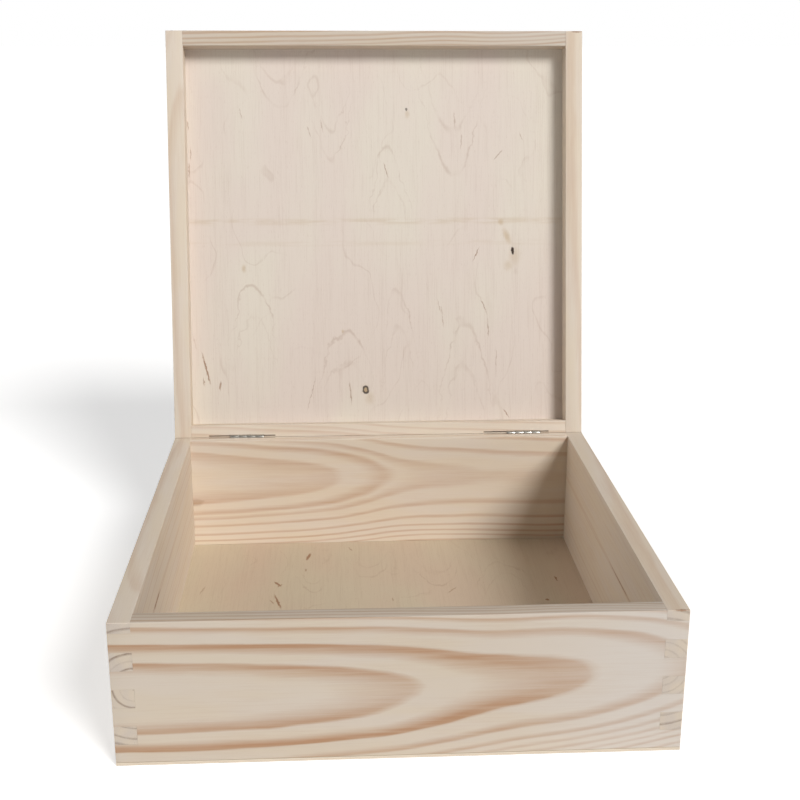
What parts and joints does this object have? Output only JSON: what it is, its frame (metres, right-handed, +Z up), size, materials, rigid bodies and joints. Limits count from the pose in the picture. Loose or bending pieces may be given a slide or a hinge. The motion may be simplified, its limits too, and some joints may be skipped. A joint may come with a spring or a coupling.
{
  "type": "wooden toy box",
  "caption": "Square shallow finger-jointed pine box with a plywood-topped lid on press-in hinges, for keeping toys and keepsakes.",
  "frame": {"origin": "centre of the underside of the plywood bottom", "axes": "+Z up, the front wall faces -Y, the hinges are along the back wall at +Y, +X to the right seen from the front; the lid is stored open"},
  "size_m": [0.3, 0.3717, 0.3684],
  "materials": {
    "pine": "sanded, unfinished",
    "pine_pale": "sanded, unfinished",
    "birch_plywood": "sanded, unfinished",
    "nickel_plate": "nickel plated"
  },
  "bodies": {
    "base": {"base_front_board": "pine", "base_back_board": "pine", "base_left_board": "pine_pale", "base_right_board": "pine_pale", "base_plywood_bottom": "birch_plywood", "left_hinge_base_leaf": "nickel_plate", "left_hinge_pin": "nickel_plate", "right_hinge_base_leaf": "nickel_plate", "right_hinge_pin": "nickel_plate"},
    "lid": {"lid_front_board": "pine", "lid_back_board": "pine", "lid_left_board": "pine_pale", "lid_right_board": "pine_pale", "lid_plywood_panel": "birch_plywood", "left_hinge_lid_leaf": "nickel_plate", "right_hinge_lid_leaf": "nickel_plate"}
  },
  "joints": [
    {"name": "lid_hinge", "type": "hinge", "parent": "base", "child": "lid", "pos_m": [0, 0.1452, 0.08315], "axis": [1, 0, 0], "range_deg": [0, 102.5]}
  ]
}
